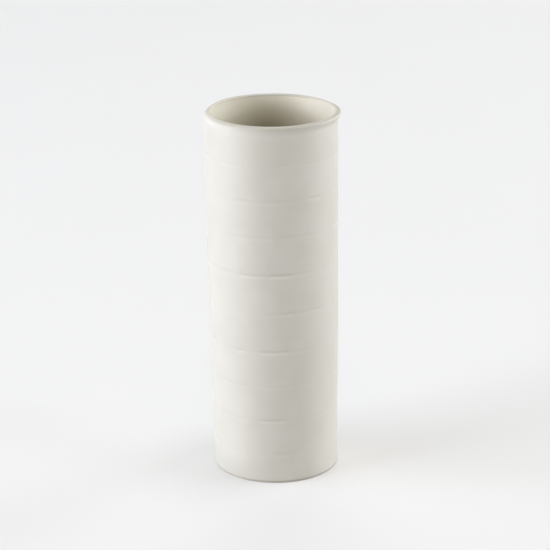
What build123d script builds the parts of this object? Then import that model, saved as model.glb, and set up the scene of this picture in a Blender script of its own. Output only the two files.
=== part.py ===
from build123d import *
import os
from math import cos, radians, sin

# A tall cylinder vase in matt off-white glazed stoneware, with faint turned lines.
#
# The vase is made up the way a potter makes it: a floor disc, a wall standing on the disc, a coil
# of clay pressed into the corner between them, and a coat of glaze outside and inside. The top of
# the lip and the foot are bare clay. Millimetres, +Z up, origin at the centre of the foot's
# resting plane. Every piece is turned round the Z axis from a half section.

# overall form, measured on the glazed surface
height = 300.0
foot_radius = 50.8  # outside, at the floor
shoulder_radius = 53.5  # outside, where the wall runs into the lip
lip_flare = 1.8  # how far the lip stands out from the shoulder
mouth_radius = 49.2  # inside, along the straight stretch under the lip
mouth_depth = 40.0  # down to the end of that stretch, from the lip's top
floor_inner_radius = 46.2  # inside, at the floor
floor_thickness = 7.0

# roundings
lip_outer_round = 1.8
lip_inner_round = 1.2
lip_sweep = 14.0  # hollow sweep from the wall out to the lip
corner_sweep = 8.0  # hollow sweep from the floor up to the wall, inside

# coats of glaze, and the bare clay that they leave
outer_coat = 0.5
inner_coat = 0.5
bare_foot_height = 2.0
bare_lip_angle = 60.0  # the outer coat stops here on the lip's round, in degrees above level

# the foot: a shallow recess leaves a ring to stand on
foot_chamfer = 0.8
recess_radius = 44.0
recess_depth = 2.0
recess_chamfer = 1.0

# the turned lines: shallow round-bottomed grooves, a little unevenly spaced as a hand leaves them
line_heights = [25.0, 54.5, 84.0, 113.5, 146.0, 178.0, 209.5, 239.0, 268.0]
line_width = 3.6
line_depth = 0.4

# worked out from the above
line_round = ((line_width / 2) ** 2 + line_depth**2) / (2 * line_depth)
lip_centre = (shoulder_radius + lip_flare - lip_outer_round, height - lip_outer_round)
floor_clay_top = floor_thickness - inner_coat
mouth_top = height - lip_inner_round


def outside_radius(z):
    """Radius of the glazed wall at height z."""
    return foot_radius + (shoulder_radius - foot_radius) * z / lip_centre[1]


def outside(inset):
    """Half section of the whole outer form, this far inside the glazed surface."""
    with BuildSketch() as section:
        with BuildLine():
            Polyline(
                (0, 0),
                (foot_radius - inset, 0),
                (shoulder_radius - inset, lip_centre[1]),
                (lip_centre[0], height - inset),
                (0, height - inset),
                close=True,
            )
        make_face()
        with Locations(lip_centre):
            Circle(lip_outer_round - inset)
        under_lip = section.vertices().group_by(Axis.Y)[1]
        fillet(under_lip, lip_sweep + inset)
        line_centres = [(outside_radius(z) + line_round - line_depth, z) for z in line_heights]
        with Locations(*line_centres):
            Circle(line_round + inset, mode=Mode.SUBTRACT)
    return section.sketch


def inside(inset, corner=None):
    """Half section of the hollow, this far behind the glazed surface, to the start of the lip's
    inner round. With a corner radius, the floor sweeps up into the wall."""
    with BuildSketch() as section:
        with BuildLine():
            Polyline(
                (0, floor_thickness - inset),
                (floor_inner_radius + inset, floor_thickness - inset),
                (mouth_radius + inset, height - mouth_depth),
                (mouth_radius + inset, mouth_top),
                (0, mouth_top),
                close=True,
            )
        make_face()
        if corner is not None:
            floor_corner = section.vertices().group_by(Axis.Y)[0].sort_by(Axis.X)[-1]
            fillet(floor_corner, corner)
    return section.sketch


def bare_lip():
    """Half section of the zone over the lip that carries no glaze, well past the lip's surface."""
    reach = 2 * lip_outer_round
    edge_x = lip_centre[0] + reach * cos(radians(bare_lip_angle))
    edge_z = lip_centre[1] + reach * sin(radians(bare_lip_angle))
    with BuildSketch() as section:
        with BuildLine():
            Polyline((0, lip_centre[1]), lip_centre, (edge_x, edge_z), (0, edge_z), close=True)
        make_face()
    return section.sketch


def lip_opening():
    """Half section of the hollow over the glaze, with the lip's inner round."""
    with BuildSketch() as section:
        with BuildLine():
            flank = JernArc(
                start=(mouth_radius, mouth_top), tangent=(0, 1), radius=lip_inner_round, arc_size=-90
            )
            Polyline(flank @ 1, (0, height), (0, mouth_top), flank @ 0)
        make_face()
    return section.sketch


def level_band(low, high):
    """Half section of everything between two heights."""
    with BuildSketch() as section:
        with Locations((0, low)):
            Rectangle(2 * foot_radius, high - low, align=(Align.MIN, Align.MIN))
    return section.sketch


# floor disc, with the foot ring turned into its underside
with BuildPart() as floor_disc:
    with BuildSketch(Plane.XZ):
        add(outside(outer_coat))
        add(level_band(0, floor_clay_top), mode=Mode.INTERSECT)
    revolve(axis=Axis.Z)
    chamfer(floor_disc.edges().group_by(Axis.Z)[0], foot_chamfer)
    with BuildSketch(Plane.XY):
        Circle(recess_radius)
    extrude(amount=recess_depth, mode=Mode.SUBTRACT)
    recess_mouth = floor_disc.edges().group_by(Axis.Z)[0].sort_by(SortBy.LENGTH)[0]
    chamfer(recess_mouth, recess_chamfer)

# wall: a turned tube on the disc, full size over the bare lip and one coat smaller elsewhere
with BuildPart() as clay_wall:
    with BuildSketch(Plane.XZ):
        add(outside(0))
        add(bare_lip(), mode=Mode.INTERSECT)
        add(outside(outer_coat))
        add(level_band(0, floor_clay_top), mode=Mode.SUBTRACT)
        add(lip_opening(), mode=Mode.SUBTRACT)
        add(inside(inner_coat), mode=Mode.SUBTRACT)
    revolve(axis=Axis.Z)

# coil pressed into the corner between floor and wall
with BuildPart() as corner_coil:
    with BuildSketch(Plane.XZ):
        add(inside(inner_coat))
        add(inside(inner_coat, corner_sweep + inner_coat), mode=Mode.SUBTRACT)
    revolve(axis=Axis.Z)

# outer coat of glaze, from just above the foot to the lip's round
with BuildPart() as outer_glaze:
    with BuildSketch(Plane.XZ):
        add(outside(0))
        add(outside(outer_coat), mode=Mode.SUBTRACT)
        add(bare_lip(), mode=Mode.SUBTRACT)
        add(level_band(0, bare_foot_height), mode=Mode.SUBTRACT)
    revolve(axis=Axis.Z)

# inner coat of glaze: a thin cup that lines the hollow up to the lip's inner round
with BuildPart() as inner_glaze:
    with BuildSketch(Plane.XZ):
        add(inside(inner_coat, corner_sweep + inner_coat))
        add(inside(0, corner_sweep), mode=Mode.SUBTRACT)
    revolve(axis=Axis.Z)

pieces = {
    "floor_disc": floor_disc,
    "clay_wall": clay_wall,
    "corner_coil": corner_coil,
    "outer_glaze": outer_glaze,
    "inner_glaze": inner_glaze,
}
os.makedirs("parts", exist_ok=True)
for name, piece in pieces.items():
    piece.part.label = name
    export_step(piece.part, f"parts/{name}.step")
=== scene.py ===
"""The cylinder vase's looks: five turned pieces with handmade irregularity, their glazes and clay,
a pale seamless stage, soft studio light and the camera. Metres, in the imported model's frame."""

import math

import bmesh
import bpy
from mathutils import Matrix, Vector, noise


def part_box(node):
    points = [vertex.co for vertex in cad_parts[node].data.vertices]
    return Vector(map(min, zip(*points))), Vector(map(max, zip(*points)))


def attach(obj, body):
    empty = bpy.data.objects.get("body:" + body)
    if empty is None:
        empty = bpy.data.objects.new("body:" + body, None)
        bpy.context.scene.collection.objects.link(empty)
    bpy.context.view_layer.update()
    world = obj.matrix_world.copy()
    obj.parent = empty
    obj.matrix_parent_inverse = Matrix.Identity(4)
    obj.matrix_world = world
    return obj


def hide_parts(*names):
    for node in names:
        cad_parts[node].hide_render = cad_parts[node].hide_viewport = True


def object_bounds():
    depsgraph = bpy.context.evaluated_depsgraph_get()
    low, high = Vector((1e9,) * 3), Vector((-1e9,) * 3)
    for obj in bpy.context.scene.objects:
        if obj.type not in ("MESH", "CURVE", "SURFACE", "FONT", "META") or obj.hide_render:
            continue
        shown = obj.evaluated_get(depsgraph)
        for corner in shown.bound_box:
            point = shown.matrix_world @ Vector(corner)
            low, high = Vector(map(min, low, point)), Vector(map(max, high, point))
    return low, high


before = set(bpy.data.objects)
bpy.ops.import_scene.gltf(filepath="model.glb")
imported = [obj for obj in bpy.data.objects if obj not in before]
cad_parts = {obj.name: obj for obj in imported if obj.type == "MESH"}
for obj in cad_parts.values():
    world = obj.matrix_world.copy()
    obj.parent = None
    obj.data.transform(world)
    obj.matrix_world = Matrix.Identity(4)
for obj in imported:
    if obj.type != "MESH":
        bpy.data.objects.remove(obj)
cad_low, cad_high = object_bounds()

MM = 0.001
SEGMENTS = 224  # faces round the vase
SHARP_ANGLE = math.radians(42)  # edges sharper than this aren't smoothed

# ---------------------------------------------------------------- sizes, from the frame
outer_low, outer_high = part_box("outer_glaze")
inner_low, inner_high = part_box("inner_glaze")
_, disc_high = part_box("floor_disc")
COAT = 0.5 * MM
HEIGHT = cad_high.z
CAD_LIP_RADIUS = outer_high.x
CAD_LIP_FLARE = 1.8 * MM
SHOULDER_RADIUS = CAD_LIP_RADIUS - CAD_LIP_FLARE
FOOT_RADIUS = disc_high.x + COAT
MOUTH_RADIUS = inner_high.x - COAT
FLOOR_TOP = inner_low.z + COAT
CLAY_FLOOR_TOP = disc_high.z
MOUTH_TOP = inner_high.z
BARE_FOOT = outer_low.z

# the form's own sizes: the lip is a little smaller than in the CAD, to stay inside its box
LIP_FLARE = 1.7 * MM
LIP_ROUND = 1.7 * MM
LIP_INNER_ROUND = 1.1 * MM
LIP_SWEEP = 14.0 * MM
LIP_CENTRE = (SHOULDER_RADIUS + LIP_FLARE - LIP_ROUND, HEIGHT - LIP_ROUND)
GLAZE_STOP = math.radians(62)  # the outer coat ends here on the lip's round, above level
GLAZE_EDGE = 0.4 * MM  # rounding of the outer coat's lower edge
STRAIGHT_MOUTH = 40.0 * MM
FLOOR_INNER_RADIUS = 46.2 * MM
CORNER_SWEEP = 8.0 * MM
COIL_INNER_RADIUS = 34.5 * MM
RECESS_RADIUS = 44.0 * MM
RECESS_DEPTH = 2.0 * MM
RECESS_ROUND = 1.0 * MM
FOOT_ROUND = 0.8 * MM
SWIRL_PITCH = 3.1 * MM  # the rings that turning leaves in the recess
SWIRL_DEPTH = 0.09 * MM

# steps up the wall: between the lines, and over a line
SEEN_STEPS = (4.0 * MM, 0.45 * MM)
HIDDEN_STEPS = (8.0 * MM, 1.0 * MM)

# ---------------------------------------------------------------- the turned lines
LINE_HALF_WIDTH = 2.1 * MM
LINE_REACH = 3.4 * MM
LINE_DEPTH = 0.5 * MM
LINE_FADE = 5  # degrees over which a crisp stretch starts and stops
FAINT = 0.1  # depth of a line between its crisp stretches, as a share of the full depth
WANDER = 0.3 * MM  # how far a line wanders up and down
WANDER_REACH = 9 * MM  # the clay above and below moves with it, less and less over this height
# height, and the stretches where the line is crisp: from and to in degrees round from the
# front, + to the right, and how deep, as a share of the full depth
LINES = (
    (25.0 * MM, ((-14, -5, 0.25), (-2, 11, 0.45))),
    (54.5 * MM, ((-38, -27, 0.3), (-14, 9, 0.75))),
    (84.0 * MM, ((-54, -42, 0.3), (-38, -22, 0.25), (-8, 8, 0.25))),
    (113.5 * MM, ((-36, -26, 0.6), (-14, 13, 0.75), (15, 30, 0.2))),
    (146.0 * MM, ((-8, 46, 0.3), (6, 18, 0.7), (36, 44, 0.5))),
    (178.0 * MM, ((-54, -40, 0.3), (-30, -6, 0.55), (-4, 17, 1.0), (17, 38, 0.3))),
    (209.5 * MM, ((-36, -2, 0.3), (6, 40, 0.25))),
    (239.0 * MM, ((-32, -21, 0.5), (-15, 14, 0.3), (35, 46, 0.6))),
    (268.0 * MM, ((-48, -30, 0.2), (-3, 12, 0.15), (25, 42, 0.15))),
)

# ---------------------------------------------------------------- what the hand does to the form
# bearings on the lip: degrees round from the front, + to the right, and how wide the effect is
FRONT_LEFT = (-60, 27)
LEFT = (-97, 28)
BACK_LEFT = (-142, 28)
BACK_RIGHT = (117, 31)

WALL_ASIDE = 1.4 * MM  # the wall stands this far to the left of the frame's axis
LIP_ASIDE = 1.45 * MM  # and the lip this far to the right of the wall
LIP_START = 286 * MM  # the lip's own irregularities grow from here
LIP_GROWTH = 10 * MM
CORE = 20 * MM  # inside this radius the outward moves fade away towards the axis


def smooth(t):
    """From 0 to 1 without a corner, while t goes from 0 to 1."""
    t = min(max(t, 0.0), 1.0)
    return t * t * (3 - 2 * t)


def around(value, middle, reach):
    """1 at the middle, and less on both sides of it."""
    return math.exp(-(((value - middle) / reach) ** 2))


def beside(angle, bearing, width):
    """1 at one bearing round the vase, in degrees, and less to both sides of it."""
    away = (math.degrees(angle) - bearing + 180) % 360 - 180
    return around(away, 0, width)


def turn_noise(angle, row, scale):
    """Noise that closes on itself round the vase, from -1 to 1."""
    return noise.noise(Vector((scale * math.cos(angle), scale * math.sin(angle), 7.3 * row + 0.5)))


def line_strength(row, stretches, angle):
    """How deep a line is here, from 0 to 1. The angle is round from the front, + to the right."""
    degrees = math.degrees(angle)
    strength = FAINT
    for start, stop, share in stretches:
        started = smooth((degrees - start) / LINE_FADE + 0.5)
        not_stopped = smooth((stop - degrees) / LINE_FADE + 0.5)
        strength = max(strength, share * started * not_stopped)
    # round the back the stretches come and go by themselves
    at_back = smooth((abs(degrees) - 60) / 15)
    comes_and_goes = smooth(0.5 + 2.2 * turn_noise(angle, row, 2.6))
    return max(strength, 0.7 * at_back * comes_and_goes)


def line_painted_shade(radius, angle, z):
    """Painted shade and light over a line: to -1 on the upper edge, which is painted darker, to 1
    on the lower edge, which is painted lighter."""
    tint = 0.0
    for row, (height, stretches) in enumerate(LINES):
        if abs(z - height) < LINE_REACH:
            across = (z - height) / LINE_HALF_WIDTH
            # about 1 at its two extremes, a half width below and above the line
            edge = -3.1 * across * math.exp(-1.8 * across * across)
            tint += edge * line_strength(row, stretches, angle)
    return tint if radius > MOUTH_RADIUS + 2 * COAT else 0.0


def line_move(radius, angle, z):
    """How the turned lines move a point: outward, and up or down where they wander."""
    outward = 0.0
    rise = 0.0
    on_outside = smooth((radius - MOUTH_RADIUS) / (1.0 * MM))
    for row, (height, stretches) in enumerate(LINES):
        if abs(z - height) > 3 * WANDER_REACH:
            continue
        rise += WANDER * turn_noise(angle, row + 40, 0.9) * around(z, height, WANDER_REACH)
        if abs(z - height) < LINE_REACH:
            across = (z - height) / LINE_HALF_WIDTH
            dip = math.exp(-2.2 * across * across)
            outward -= on_outside * LINE_DEPTH * line_strength(row, stretches, angle) * dip
    return outward, rise


def body_move(angle, z):
    """How far outward a body thrown by hand is from a turned one: it is never quite round, nor
    quite straight."""
    up = z / HEIGHT
    above_foot = smooth(z / (30 * MM))
    near_foot = 1 - smooth(z / (60 * MM))
    to_right = max(0.0, math.sin(angle))
    dents = noise.noise(Vector((0.9 * math.cos(angle), 0.9 * math.sin(angle), 9 * up)))
    outward = 0.12 * MM * above_foot * math.cos(2 * angle + 0.6 + 1.5 * up)
    outward += 0.15 * MM * above_foot * dents
    outward += 0.2 * MM * math.sin(math.pi * up)
    outward -= 0.15 * MM * around(z, LIP_START, 9 * MM)
    outward += 0.5 * MM * to_right * around(z, 135 * MM, 42 * MM)
    outward += 0.6 * MM * near_foot * math.sin(2 * angle)
    return outward


def lip_move(radius, angle, z):
    """How the lip differs from a turned one: outward, to the right, and down."""
    at_lip = smooth((z - LIP_START) / LIP_GROWTH)
    outer_side = smooth((radius - 50.3 * MM) / (3.5 * MM))
    to_left = (1 - math.sin(angle)) / 2
    to_right = (1 + math.sin(angle)) / 2

    # it leans over to the right of the wall, inside from lower down than outside
    inside_lean = smooth((z - 268 * MM) / (30 * MM))
    outside_lean = smooth((z - 292.5 * MM) / (5.5 * MM))
    lean = inside_lean + (outside_lean - inside_lean) * smooth((radius - 50.2 * MM) / (2.5 * MM))
    drawn_in = (max(0.0, z - 296.5 * MM) / (3.5 * MM)) ** 2
    aside = LIP_ASIDE * lean + 0.8 * MM * drawn_in * to_left

    # it flares most at the sides and the back left, and is drawn in at the back right
    pinch = 1.3 * MM * (1 - math.sin(angle) ** 12) - 1.0 * MM * beside(angle, *BACK_LEFT)
    outward = -pinch * at_lip * outer_side - 1.2 * MM * lean * beside(angle, *BACK_RIGHT)
    # on the left the wall leans in below it, and its outer round is wider in front of that
    leans_in = 0.3 * max(0.0, z - 294.5 * MM) * beside(angle, *LEFT)
    wider = 2.5 * MM * smooth((z - 296 * MM) / (4 * MM)) * beside(angle, *FRONT_LEFT)
    outward -= outer_side * (leans_in + wider)

    # it dips to the right, and a little unevenly all round
    drop = at_lip * (0.6 * MM * to_right + 0.12 * MM * (1 + turn_noise(angle, 3, 1.4)))
    return outward, aside, drop


def handmade(x, y, z):
    """Where the hand moves a point of the perfectly turned form."""
    radius = math.hypot(x, y)
    # a point on the axis has no bearing, and stays
    if radius < 1e-6:
        return x, y, z
    angle = math.atan2(x, -y)
    line_outward, rise = line_move(radius, angle, z)
    lip_outward, aside, drop = lip_move(radius, angle, z)
    outward = line_outward + body_move(angle, z) + lip_outward
    scale = 1 + outward / radius if radius > CORE else 1 + outward * radius / CORE**2
    return x * scale + aside - WALL_ASIDE, y * scale, z + rise - drop


# ---------------------------------------------------------------- half sections, as (radius, height)
def arc(centre, radius, start, stop, steps):
    """Points round a centre, from start to stop in radians above level."""
    found = []
    for i in range(steps + 1):
        a = start + (stop - start) * i / steps
        found.append((centre[0] + radius * math.cos(a), centre[1] + radius * math.sin(a)))
    return found


def wall_radius(z):
    """Glazed outside radius of the straight wall."""
    return FOOT_RADIUS + (SHOULDER_RADIUS - FOOT_RADIUS) * z / LIP_CENTRE[1]


def wall_heights(low, high, steps):
    """Heights up the wall, close together over each turned line."""
    coarse, fine = steps
    heights = [low]
    starts = [height - LINE_REACH + fine / 9 for height, _ in LINES]
    while heights[-1] < high - fine:
        z = heights[-1]
        on_line = any(abs(z - height) < LINE_REACH for height, _ in LINES)
        above = z + (fine if on_line else coarse)
        heights.append(min([start for start in starts if z < start < above] + [above, high]))
    return heights


def under_lip(inset):
    """The hollow sweep from the wall to the lip's round, and the angle where it meets the round."""
    round_radius = LIP_ROUND - inset
    sweep = LIP_SWEEP + inset
    wall_x = SHOULDER_RADIUS - inset
    across = wall_x + sweep - LIP_CENTRE[0]
    drop = math.sqrt((sweep + round_radius) ** 2 - across**2)
    centre = (wall_x + sweep, LIP_CENTRE[1] - drop)
    meet = math.atan2(-drop, across)
    return arc(centre, sweep, math.pi, math.pi + meet, 8), meet


def outside_path(inset, low, steps):
    """Up the outside, this far behind the glaze, from a height to where the coat stops."""
    sweep, meet = under_lip(inset)
    heights = wall_heights(low, sweep[0][1] - 0.5 * MM, steps)
    path = [(wall_radius(z) - inset, z) for z in heights]
    path += sweep
    path += arc(LIP_CENTRE, LIP_ROUND - inset, meet, GLAZE_STOP, 12)[1:]
    return path


def between(start, stop, steps):
    """Points on a straight line from after the start to the stop."""
    found = []
    for i in range(1, steps + 1):
        share = i / steps
        found.append((start[0] + (stop[0] - start[0]) * share, start[1] + (stop[1] - start[1]) * share))
    return found


def hollow_path(inset, top):
    """From the axis along the floor, up the corner and the wall of the hollow, to a height."""
    floor = FLOOR_TOP - inset
    corner = CORNER_SWEEP + inset
    straight = HEIGHT - STRAIGHT_MOUTH
    lean = math.atan2(MOUTH_RADIUS - FLOOR_INNER_RADIUS, straight - FLOOR_TOP)
    corner_x = FLOOR_INNER_RADIUS + inset - corner / math.tan((math.pi / 2 + lean) / 2)
    path = [(r * MM, floor) for r in (0, 1, 3, 6, 10, 14, 18, 22, 26, 30, 34)]
    path += arc((corner_x, floor + corner), corner, -math.pi / 2, -lean, 12)
    path += between(path[-1], (MOUTH_RADIUS + inset, straight), 74)
    path += between(path[-1], (MOUTH_RADIUS + inset, top), 12)
    return path


# ---------------------------------------------------------------- turning a section into a mesh
def turned(name, loop):
    """A closed mesh: the closed section turned round Z, then moved by hand. Each point keeps the
    painted shade and light of the turned lines there, for the material."""
    mesh = bpy.data.meshes.new(name)
    bm = bmesh.new()
    tint = bm.verts.layers.float.new("line_painted_shade")
    rings = []
    for r, z in loop:
        if r < 1e-7:
            rings.append([bm.verts.new(handmade(0, 0, z))])
            continue
        ring = []
        for i in range(SEGMENTS):
            a = 2 * math.pi * i / SEGMENTS
            ring.append(bm.verts.new(handmade(r * math.sin(a), -r * math.cos(a), z)))
            from_front = a if a < math.pi else a - 2 * math.pi
            ring[-1][tint] = line_painted_shade(r, from_front, z)
        rings.append(ring)
    for k, ring in enumerate(rings):
        after = rings[(k + 1) % len(rings)]
        if len(ring) == 1 and len(after) == 1:
            continue
        for i in range(SEGMENTS):
            j = (i + 1) % SEGMENTS
            if len(ring) == 1:
                bm.faces.new((ring[0], after[j], after[i]))
            elif len(after) == 1:
                bm.faces.new((ring[i], ring[j], after[0]))
            else:
                bm.faces.new((ring[i], ring[j], after[j], after[i]))
    bmesh.ops.recalc_face_normals(bm, faces=bm.faces)
    bm.to_mesh(mesh)
    bm.free()
    mesh.shade_smooth()
    mesh.set_sharp_from_angle(angle=SHARP_ANGLE)
    piece = bpy.data.objects.new(name, mesh)
    bpy.context.scene.collection.objects.link(piece)
    return piece


# ---------------------------------------------------------------- materials
class Nodes:
    """A short way to write a node material."""

    def __init__(self, name):
        self.material = bpy.data.materials.new(name)
        self.material.use_nodes = True
        self.tree = self.material.node_tree
        self.shader = self.tree.nodes["Principled BSDF"]
        self.place = self.tree.nodes.new("ShaderNodeTexCoord").outputs["Object"]

    def add(self, kind, settings=None, **inputs):
        """A node with its settings. An input is given by name, or as _0, _1 by number."""
        node = self.tree.nodes.new(kind)
        for key, value in (settings or {}).items():
            setattr(node, key, value)
        for key, value in inputs.items():
            socket = node.inputs[int(key[1:]) if key[0] == "_" else key.replace("_", " ")]
            self.put(value, socket)
        return node

    def put(self, value, socket):
        """Link an output to a socket, or set a plain value on it."""
        if isinstance(value, bpy.types.NodeSocket):
            self.tree.links.new(value, socket)
        else:
            socket.default_value = value

    def maths(self, operation, a, b=0.0):
        return self.add("ShaderNodeMath", {"operation": operation}, _0=a, _1=b).outputs[0]

    def times(self, a, b):
        return self.maths("MULTIPLY", a, b)

    def coordinates(self):
        """Where a point is on the object: x to the right, y to the back, z up."""
        return self.add("ShaderNodeSeparateXYZ", Vector=self.place).outputs

    def ragged(self, value, scale, depth):
        """A distance with noise added, so that a limit set on it isn't a clean line."""
        return self.maths("ADD", value, self.times(self.noise(scale, 3, 0.6), depth))

    def stretched(self, x, y, z):
        return self.add("ShaderNodeMapping", Vector=self.place, Scale=(x, y, z)).outputs[0]

    def noise(self, scale, detail, roughness, vector=None):
        node = self.add(
            "ShaderNodeTexNoise",
            Vector=vector or self.place,
            Scale=scale,
            Detail=detail,
            Roughness=roughness,
        )
        return node.outputs["Fac"]

    def ramp(self, value, low, high, out_low=0.0, out_high=1.0):
        """A smooth step from one output to the other, while the value goes from low to high."""
        node = self.add("ShaderNodeMapRange", {"interpolation_type": "SMOOTHSTEP"}, Value=value)
        node.inputs["From Min"].default_value = low
        node.inputs["From Max"].default_value = high
        node.inputs["To Min"].default_value = out_low
        node.inputs["To Max"].default_value = out_high
        return node.outputs[0]

    def blend(self, share, a, b):
        """Colour a, with this share of colour b."""
        node = self.tree.nodes.new("ShaderNodeMix")
        node.data_type = "RGBA"
        self.put(share, node.inputs[0])
        self.put(a, node.inputs[6])
        self.put(b, node.inputs[7])
        return node.outputs[2]

    def bump(self, height, distance, after=None):
        node = self.add("ShaderNodeBump", Height=height, Distance=distance, Strength=1.0)
        if after is not None:
            self.put(after, node.inputs["Normal"])
        return node.outputs[0]

    def finish(self, colour, roughness, normal, **constants):
        """Wire up the shader. What is the same all over is set on its own sockets."""
        self.put(colour, self.shader.inputs["Base Color"])
        self.put(roughness, self.shader.inputs["Roughness"])
        if normal is not None:
            self.put(normal, self.shader.inputs["Normal"])
        for key, value in constants.items():
            self.shader.inputs[key.replace("_", " ")].default_value = value
        return self.material


def colour(r, g, b):
    """An opaque colour from linear values."""
    return (r, g, b, 1.0)


GLAZE = colour(0.506, 0.487, 0.437)
GLAZE_THICK = colour(0.529, 0.511, 0.463)
GLAZE_THIN_AND_SHADE = colour(0.478, 0.460, 0.411)
GLAZE_LINE_PAINTED_LIGHT = colour(0.556, 0.538, 0.486)
GLAZE_LIP_PAINTED_LIGHT = colour(0.600, 0.580, 0.520)
LINER = colour(0.755, 0.725, 0.612)
LINER_CLOUD = colour(0.730, 0.700, 0.588)
LINER_PAINTED_SHADE = colour(0.550, 0.504, 0.400)
LINER_DEEPEST_SHADE = colour(0.360, 0.325, 0.255)
LINER_RIM_SHADE = colour(0.595, 0.575, 0.510)
WASH = colour(0.598, 0.560, 0.474)
CLAY = colour(0.480, 0.456, 0.398)
CLAY_DARK = colour(0.438, 0.413, 0.355)
CLAY_CONTACT_SHADE = colour(0.270, 0.252, 0.214)
TABLE = colour(0.445, 0.447, 0.451)
TABLE_CLOUD = colour(0.455, 0.457, 0.461)
GLOW = colour(0.804, 0.795, 0.765)
GLOW_CLOUD = colour(0.8125, 0.803, 0.772)
GLOW_SHADOW_FILL = colour(0.985, 0.973, 0.936)
TABLE_GLOW = 0.4  # strength of the glow


def matt_glaze():
    """Matt off-white glaze: faint clouding, a soft satin grain and hair-fine throwing marks."""
    m = Nodes("matt_glaze")
    clouds = m.noise(38, 3, 0.55)
    marks = m.noise(1.0, 3, 0.6, m.stretched(14, 14, 520))
    grain = m.noise(1700, 2, 0.5)
    skin = m.noise(190, 3, 0.5)
    x, y, z = m.coordinates()
    off_centre = m.maths("ABSOLUTE", x)
    level = m.ragged(z, 160, 1.6 * MM)

    body = m.blend(m.ramp(clouds, 0.35, 0.7), GLAZE, GLAZE_THICK)
    body = m.blend(m.ramp(marks, 0.25, 0.75, 0.0, 0.10), body, GLAZE_THIN_AND_SHADE)

    # over a turned line: painted light on the lower edge and painted shade on the upper edge
    line = m.add("ShaderNodeAttribute", {"attribute_name": "line_painted_shade"}).outputs["Fac"]
    body = m.blend(m.maths("MAXIMUM", line, 0.0), body, GLAZE_LINE_PAINTED_LIGHT)
    body = m.blend(m.maths("MAXIMUM", m.times(line, -1.0), 0.0), body, GLAZE_THIN_AND_SHADE)

    # at the top the clay shows through it; its darker tone at front and back is painted shade
    thin = m.ramp(level, 298.6 * MM, 300.2 * MM, 0.0, 0.85)
    body = m.blend(thin, body, CLAY)
    front_and_back = m.ramp(off_centre, 50 * MM, 28 * MM, 0.0, 0.75)
    painted_front_back_shade = m.times(m.ramp(level, 296.8 * MM, 299.0 * MM), front_and_back)
    body = m.blend(painted_front_back_shade, body, CLAY_DARK)

    # painted light on the lip's round at the front left, and painted shade low down by the foot's left
    front_left = m.times(m.ramp(x, -38 * MM, -50 * MM, 0.0, 0.6), m.ramp(y, 10 * MM, -12 * MM))
    painted_lip_light = m.times(m.ramp(level, 295.0 * MM, 297.5 * MM), front_left)
    body = m.blend(painted_lip_light, body, GLAZE_LIP_PAINTED_LIGHT)
    painted_foot_shade = m.times(m.ramp(level, 26 * MM, 4 * MM), m.ramp(x, 10 * MM, -30 * MM, 0.0, 0.9))
    body = m.blend(painted_foot_shade, body, GLAZE_THIN_AND_SHADE)

    rough = m.ramp(clouds, 0.3, 0.7, 0.52, 0.62)
    relief = m.bump(skin, 0.06 * MM)
    relief = m.bump(marks, 0.03 * MM, after=relief)
    relief = m.bump(grain, 0.012 * MM, after=relief)
    return m.finish(body, rough, relief, IOR=1.5)


def liner_glaze():
    """The same glaze inside, a little glossier, with painted light: lighter and warmer than outside."""
    m = Nodes("liner_glaze")
    clouds = m.noise(30, 3, 0.55)
    marks = m.noise(1.0, 3, 0.6, m.stretched(12, 12, 300))
    skin = m.noise(170, 3, 0.5)
    x, _, z = m.coordinates()
    off_centre = m.maths("ABSOLUTE", x)
    level = m.ragged(z, 60, 3 * MM)
    body = m.blend(m.ramp(clouds, 0.35, 0.7), LINER, LINER_CLOUD)

    # painted shade: warmer and darker further down, and to the right
    painted_depth_shade = m.times(m.ramp(level, 303 * MM, 268 * MM), m.ramp(off_centre, 4 * MM, 36 * MM, 1.0, 0.76))
    body = m.blend(painted_depth_shade, body, LINER_PAINTED_SHADE)
    to_right = m.ramp(x, -45 * MM, 45 * MM, 0.0, 0.36)
    body = m.blend(to_right, body, LINER_PAINTED_SHADE)
    # painted shade, darkest low down in the middle
    painted_deepest_shade = m.times(m.ramp(level, 286 * MM, 272 * MM), m.ramp(off_centre, 22 * MM, 2 * MM, 0.0, 0.4))
    body = m.blend(painted_deepest_shade, body, LINER_DEEPEST_SHADE)

    # painted shade: greyer by the mouth's edge on the right
    painted_rim_shade = m.times(m.ramp(level, 287 * MM, 300 * MM), m.ramp(x, 22 * MM, 46 * MM, 0.0, 0.8))
    body = m.blend(painted_rim_shade, body, LINER_RIM_SHADE)
    body = m.blend(m.ramp(marks, 0.25, 0.75, 0.0, 0.12), body, CLAY)

    rough = m.ramp(clouds, 0.3, 0.7, 0.36, 0.46)
    relief = m.bump(skin, 0.05 * MM)
    relief = m.bump(marks, 0.05 * MM, after=relief)
    return m.finish(body, rough, relief, IOR=1.5)


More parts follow.
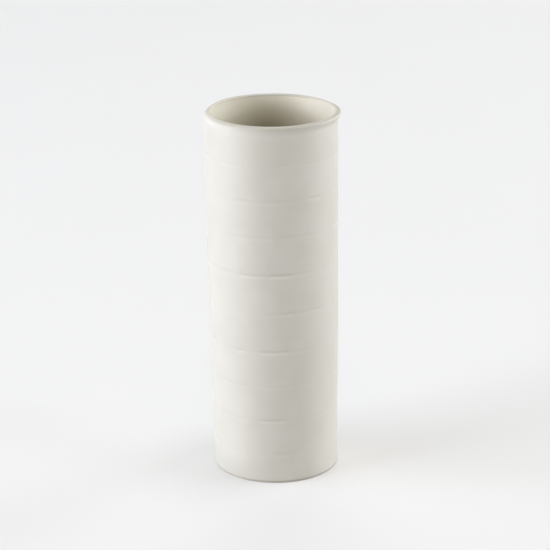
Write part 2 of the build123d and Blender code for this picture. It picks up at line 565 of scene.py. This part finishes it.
def bare_clay():
    """Fired clay without glaze: darker, dry and finely gritty."""
    m = Nodes("bare_clay")
    clouds = m.noise(60, 3, 0.6)
    grit = m.noise(2600, 2, 0.6)
    grog = m.add("ShaderNodeTexVoronoi", Vector=m.place, Scale=900.0).outputs["Distance"]
    x, _, z = m.coordinates()
    body = m.blend(m.ramp(clouds, 0.3, 0.7), CLAY, CLAY_DARK)
    body = m.blend(m.ramp(grog, 0.0, 0.22, 0.45, 0.0), body, CLAY_DARK)

    # the lip's inner edge is washed thinly with the liner glaze, with painted light at the
    # sides and painted shade at front and back
    level = m.add("ShaderNodeVectorMath", {"operation": "MULTIPLY"}, _0=m.place, _1=(1.0, 1.0, 0.0))
    from_axis = m.add("ShaderNodeVectorMath", {"operation": "LENGTH"}, _0=level.outputs[0])
    radius = m.ragged(from_axis.outputs["Value"], 160, 0.8 * MM)
    high_up = m.ramp(z, 290.0 * MM, 297.5 * MM)
    painted_side_light = m.ramp(m.maths("ABSOLUTE", x), 12 * MM, 48 * MM, 0.1, 1.0)
    wash_and_side_light = m.times(m.ramp(radius, 53.2 * MM, 49.9 * MM), m.times(high_up, painted_side_light))
    body = m.blend(wash_and_side_light, body, WASH)

    # painted contact shade: darker just above the table
    body = m.blend(m.ramp(z, 3.6 * MM, 1.6 * MM, 0.0, 0.35), body, CLAY_CONTACT_SHADE)

    rough = m.ramp(grit, 0.3, 0.7, 0.72, 0.88)
    relief = m.bump(grit, 0.05 * MM)
    relief = m.bump(clouds, 0.08 * MM, after=relief)
    return m.finish(body, rough, relief, IOR=1.5)


# ---------------------------------------------------------------- the pieces
def make_outer_glaze():
    edge_centre = (wall_radius(BARE_FOOT) - GLAZE_EDGE, BARE_FOOT + GLAZE_EDGE)
    edge = arc(edge_centre, GLAZE_EDGE, -math.pi / 2, 0, 4)
    front = outside_path(0.0, BARE_FOOT + 0.45 * MM, SEEN_STEPS)
    back = outside_path(COAT, BARE_FOOT, HIDDEN_STEPS)
    return turned("glaze_outside", edge + front + back[::-1])


def make_inner_glaze():
    face = hollow_path(0.0, MOUTH_TOP)
    back = hollow_path(COAT, MOUTH_TOP)
    return turned("glaze_inside", face + back[::-1])


def make_wall():
    outside = outside_path(COAT, CLAY_FLOOR_TOP, HIDDEN_STEPS)
    lip_outer = arc(LIP_CENTRE, LIP_ROUND, GLAZE_STOP, math.pi / 2, 6)
    inner_centre = (MOUTH_RADIUS + LIP_INNER_ROUND, HEIGHT - LIP_INNER_ROUND)
    flat_width = LIP_CENTRE[0] - inner_centre[0]
    flat = [(LIP_CENTRE[0] - flat_width * share, HEIGHT) for share in (0.33, 0.66)]
    lip_inner = arc(inner_centre, LIP_INNER_ROUND, math.pi / 2, math.pi, 6)
    glaze_top = [(MOUTH_RADIUS, MOUTH_TOP)]
    hollow = [p for p in hollow_path(COAT, MOUTH_TOP) if p[1] > CLAY_FLOOR_TOP + CORNER_SWEEP]
    foot = [(FLOOR_INNER_RADIUS + COAT, CLAY_FLOOR_TOP)]
    return turned("wall_clay", outside + lip_outer + flat + lip_inner + glaze_top + hollow[::-1] + foot)


def make_coil():
    coil_top = CLAY_FLOOR_TOP + CORNER_SWEEP + COAT
    face = [p for p in hollow_path(COAT, MOUTH_TOP) if p[0] > COIL_INNER_RADIUS and p[1] <= coil_top]
    return turned("corner_coil_clay", face + [(FLOOR_INNER_RADIUS + COAT, CLAY_FLOOR_TOP)])


def make_floor():
    clay_radius = wall_radius(BARE_FOOT) - COAT
    under = [(r * MM, RECESS_DEPTH) for r in (0, 1, 2)]
    ring = 3.0 * MM
    while ring < RECESS_RADIUS - RECESS_ROUND - 0.4 * MM:
        swirl = SWIRL_DEPTH * math.cos(2 * math.pi * ring / SWIRL_PITCH)
        under.append((ring, RECESS_DEPTH + swirl))
        ring += 0.6 * MM
    step_centre = (RECESS_RADIUS - RECESS_ROUND, RECESS_DEPTH - RECESS_ROUND)
    step = arc(step_centre, RECESS_ROUND, math.pi / 2, 0, 5)
    ring_edge = arc((RECESS_RADIUS + FOOT_ROUND, FOOT_ROUND), FOOT_ROUND, math.pi, 1.5 * math.pi, 5)
    foot_edge = arc((clay_radius - FOOT_ROUND, FOOT_ROUND), FOOT_ROUND, -math.pi / 2, 0, 6)
    flank = [(clay_radius, z * MM) for z in (1.6, 3.0, 4.5)]
    top = [(wall_radius(CLAY_FLOOR_TOP) - COAT, CLAY_FLOOR_TOP)]
    top += [(r * MM, CLAY_FLOOR_TOP) for r in (40, 30, 20, 10, 0)]
    return turned("floor_disc_clay", under + step + ring_edge + foot_edge + flank + top)


clay = bare_clay()
pieces = (
    (make_outer_glaze(), "outer_glaze", matt_glaze(), "outer_glaze"),
    (make_inner_glaze(), "inner_glaze", liner_glaze(), "inner_glaze"),
    (make_wall(), "clay_wall", clay, "bare_clay"),
    (make_coil(), "corner_coil", clay, "bare_clay"),
    (make_floor(), "floor_disc", clay, "bare_clay"),
)
for piece, node, material, slot in pieces:
    piece.data.materials.append(material)
    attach(piece, "root")
    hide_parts(node)


# ---------------------------------------------------------------- stage, light, camera
def light_table():
    """A pale translucent table top, lit from below as well, so that shadows on it stay soft. Its
    glow is stronger in a strip to the left of the vase: painted light over the vase's shadow."""
    m = Nodes("light_table")
    clouds = m.noise(3.0, 2, 0.5)
    x, y, _ = m.coordinates()
    body = m.blend(clouds, TABLE, TABLE_CLOUD)
    glow = m.blend(clouds, GLOW, GLOW_CLOUD)
    # painted light that lifts the vase's cast shadow on the left
    off_band = m.maths("ABSOLUTE", m.maths("ADD", y, 12 * MM))
    painted_shadow_fill = m.times(m.ramp(off_band, 140 * MM, 0.0), m.ramp(x, -52 * MM, -125 * MM))
    glow = m.blend(painted_shadow_fill, glow, GLOW_SHADOW_FILL)
    m.put(glow, m.shader.inputs["Emission Color"])
    rough = m.ramp(clouds, 0.3, 0.7, 0.76, 0.84)
    return m.finish(body, rough, None, IOR=1.3, Emission_Strength=TABLE_GLOW)


def make_stage(flat=2.6, reach=4.6, rise=1.0, steps=16, sides=96):
    """A floor that sweeps up a little all round, so that no view shows an edge."""
    path = [(0.0, 0.0), (0.3, 0.0), (1.0, 0.0), (flat, 0.0)]
    for i in range(1, steps + 1):
        share = i / steps
        path.append((flat + (reach - flat) * share, rise * share**2))
    bm = bmesh.new()
    rings = []
    for r, z in path:
        count = sides if r > 0 else 1
        ring = []
        for i in range(count):
            a = 2 * math.pi * i / sides
            ring.append(bm.verts.new((r * math.cos(a), r * math.sin(a), z)))
        rings.append(ring)
    for ring, after in zip(rings, rings[1:]):
        for i in range(sides):
            j = (i + 1) % sides
            if len(ring) == 1:
                bm.faces.new((ring[0], after[i], after[j]))
            else:
                bm.faces.new((ring[i], after[i], after[j], ring[j]))
    mesh = bpy.data.meshes.new("stage")
    bm.to_mesh(mesh)
    bm.free()
    mesh.shade_smooth()
    stage = bpy.data.objects.new("stage", mesh)
    bpy.context.scene.collection.objects.link(stage)
    stage.data.materials.append(light_table())


make_stage()


def softbox(name, azimuth, elevation, distance, width, height, power, tint=(1.0, 1.0, 1.0)):
    """A large soft light aimed at the vase. Azimuth 0 is behind the camera, 90 is to the right."""
    a, e = math.radians(azimuth), math.radians(elevation)
    back = Vector((math.sin(a) * math.cos(e), -math.cos(a) * math.cos(e), math.sin(e)))
    lamp = bpy.data.lights.new(name, "AREA")
    lamp.shape = "RECTANGLE"
    lamp.size = width
    lamp.size_y = height
    lamp.energy = power
    lamp.color = tint
    holder = bpy.data.objects.new(name, lamp)
    holder.location = Vector((0, 0, HEIGHT / 2)) + back * distance
    holder.rotation_euler = back.to_track_quat("Z", "Y").to_euler()
    holder.visible_camera = False
    bpy.context.scene.collection.objects.link(holder)


COOL = (0.765, 0.827, 1.0)
NEARLY_WHITE = (0.957, 0.977, 1.0)
WARM = (1.0, 0.925, 0.815)
# azimuth and elevation in degrees, distance, width and height in metres, power in watts
softbox("left_light", -86, 21, 6.0, 5.2, 3.4, 303, COOL)
softbox("left_low_light", -73, 10, 4.0, 3.4, 1.3, 128)
softbox("left_key_light", -60, 25, 5.0, 1.2, 1.2, 34)
softbox("right_light", 97, 19, 6.0, 7.6, 3.4, 565, NEARLY_WHITE)
softbox("right_high_light", 92, 45, 6.0, 3.4, 3.4, 38)
softbox("back_light", 180, 50, 6.0, 3.4, 3.4, 94)
softbox("top_light", 0, 67, 6.0, 3.4, 3.4, 96, WARM)

world = bpy.data.worlds.new("studio")
world.use_nodes = True
background = world.node_tree.nodes["Background"]
background.inputs["Color"].default_value = (1.0, 1.0, 1.0, 1.0)
background.inputs["Strength"].default_value = 0.02
bpy.context.scene.world = world
bpy.context.scene.view_settings.view_transform = "Standard"

CAMERA_ELEVATION = math.radians(19.0)
CAMERA_DISTANCE = 1.8317
CAMERA_ROLL = math.radians(-0.97)
CAMERA_LENS = 147.87
CAMERA_SENSOR = 36
CAMERA_TARGET = Vector((0.0, 0.0, 161.6 * MM))


def make_camera():
    """In front of the vase and a little above it, turned slightly round its own line of sight."""
    back = Vector((0, -math.cos(CAMERA_ELEVATION), math.sin(CAMERA_ELEVATION)))
    right = Vector((1, 0, 0))
    up = back.cross(right)
    turn = Matrix.Rotation(CAMERA_ROLL, 3, back)
    right, up = turn @ right, turn @ up
    camera = bpy.data.cameras.new("camera")
    camera.lens = CAMERA_LENS
    camera.sensor_width = CAMERA_SENSOR
    camera.clip_start = 0.05
    camera.clip_end = 30
    holder = bpy.data.objects.new("camera", camera)
    rotation = Matrix((right, up, back)).transposed().to_4x4()
    holder.matrix_world = Matrix.Translation(CAMERA_TARGET + back * CAMERA_DISTANCE) @ rotation
    bpy.context.scene.collection.objects.link(holder)
    bpy.context.scene.camera = holder


make_camera()
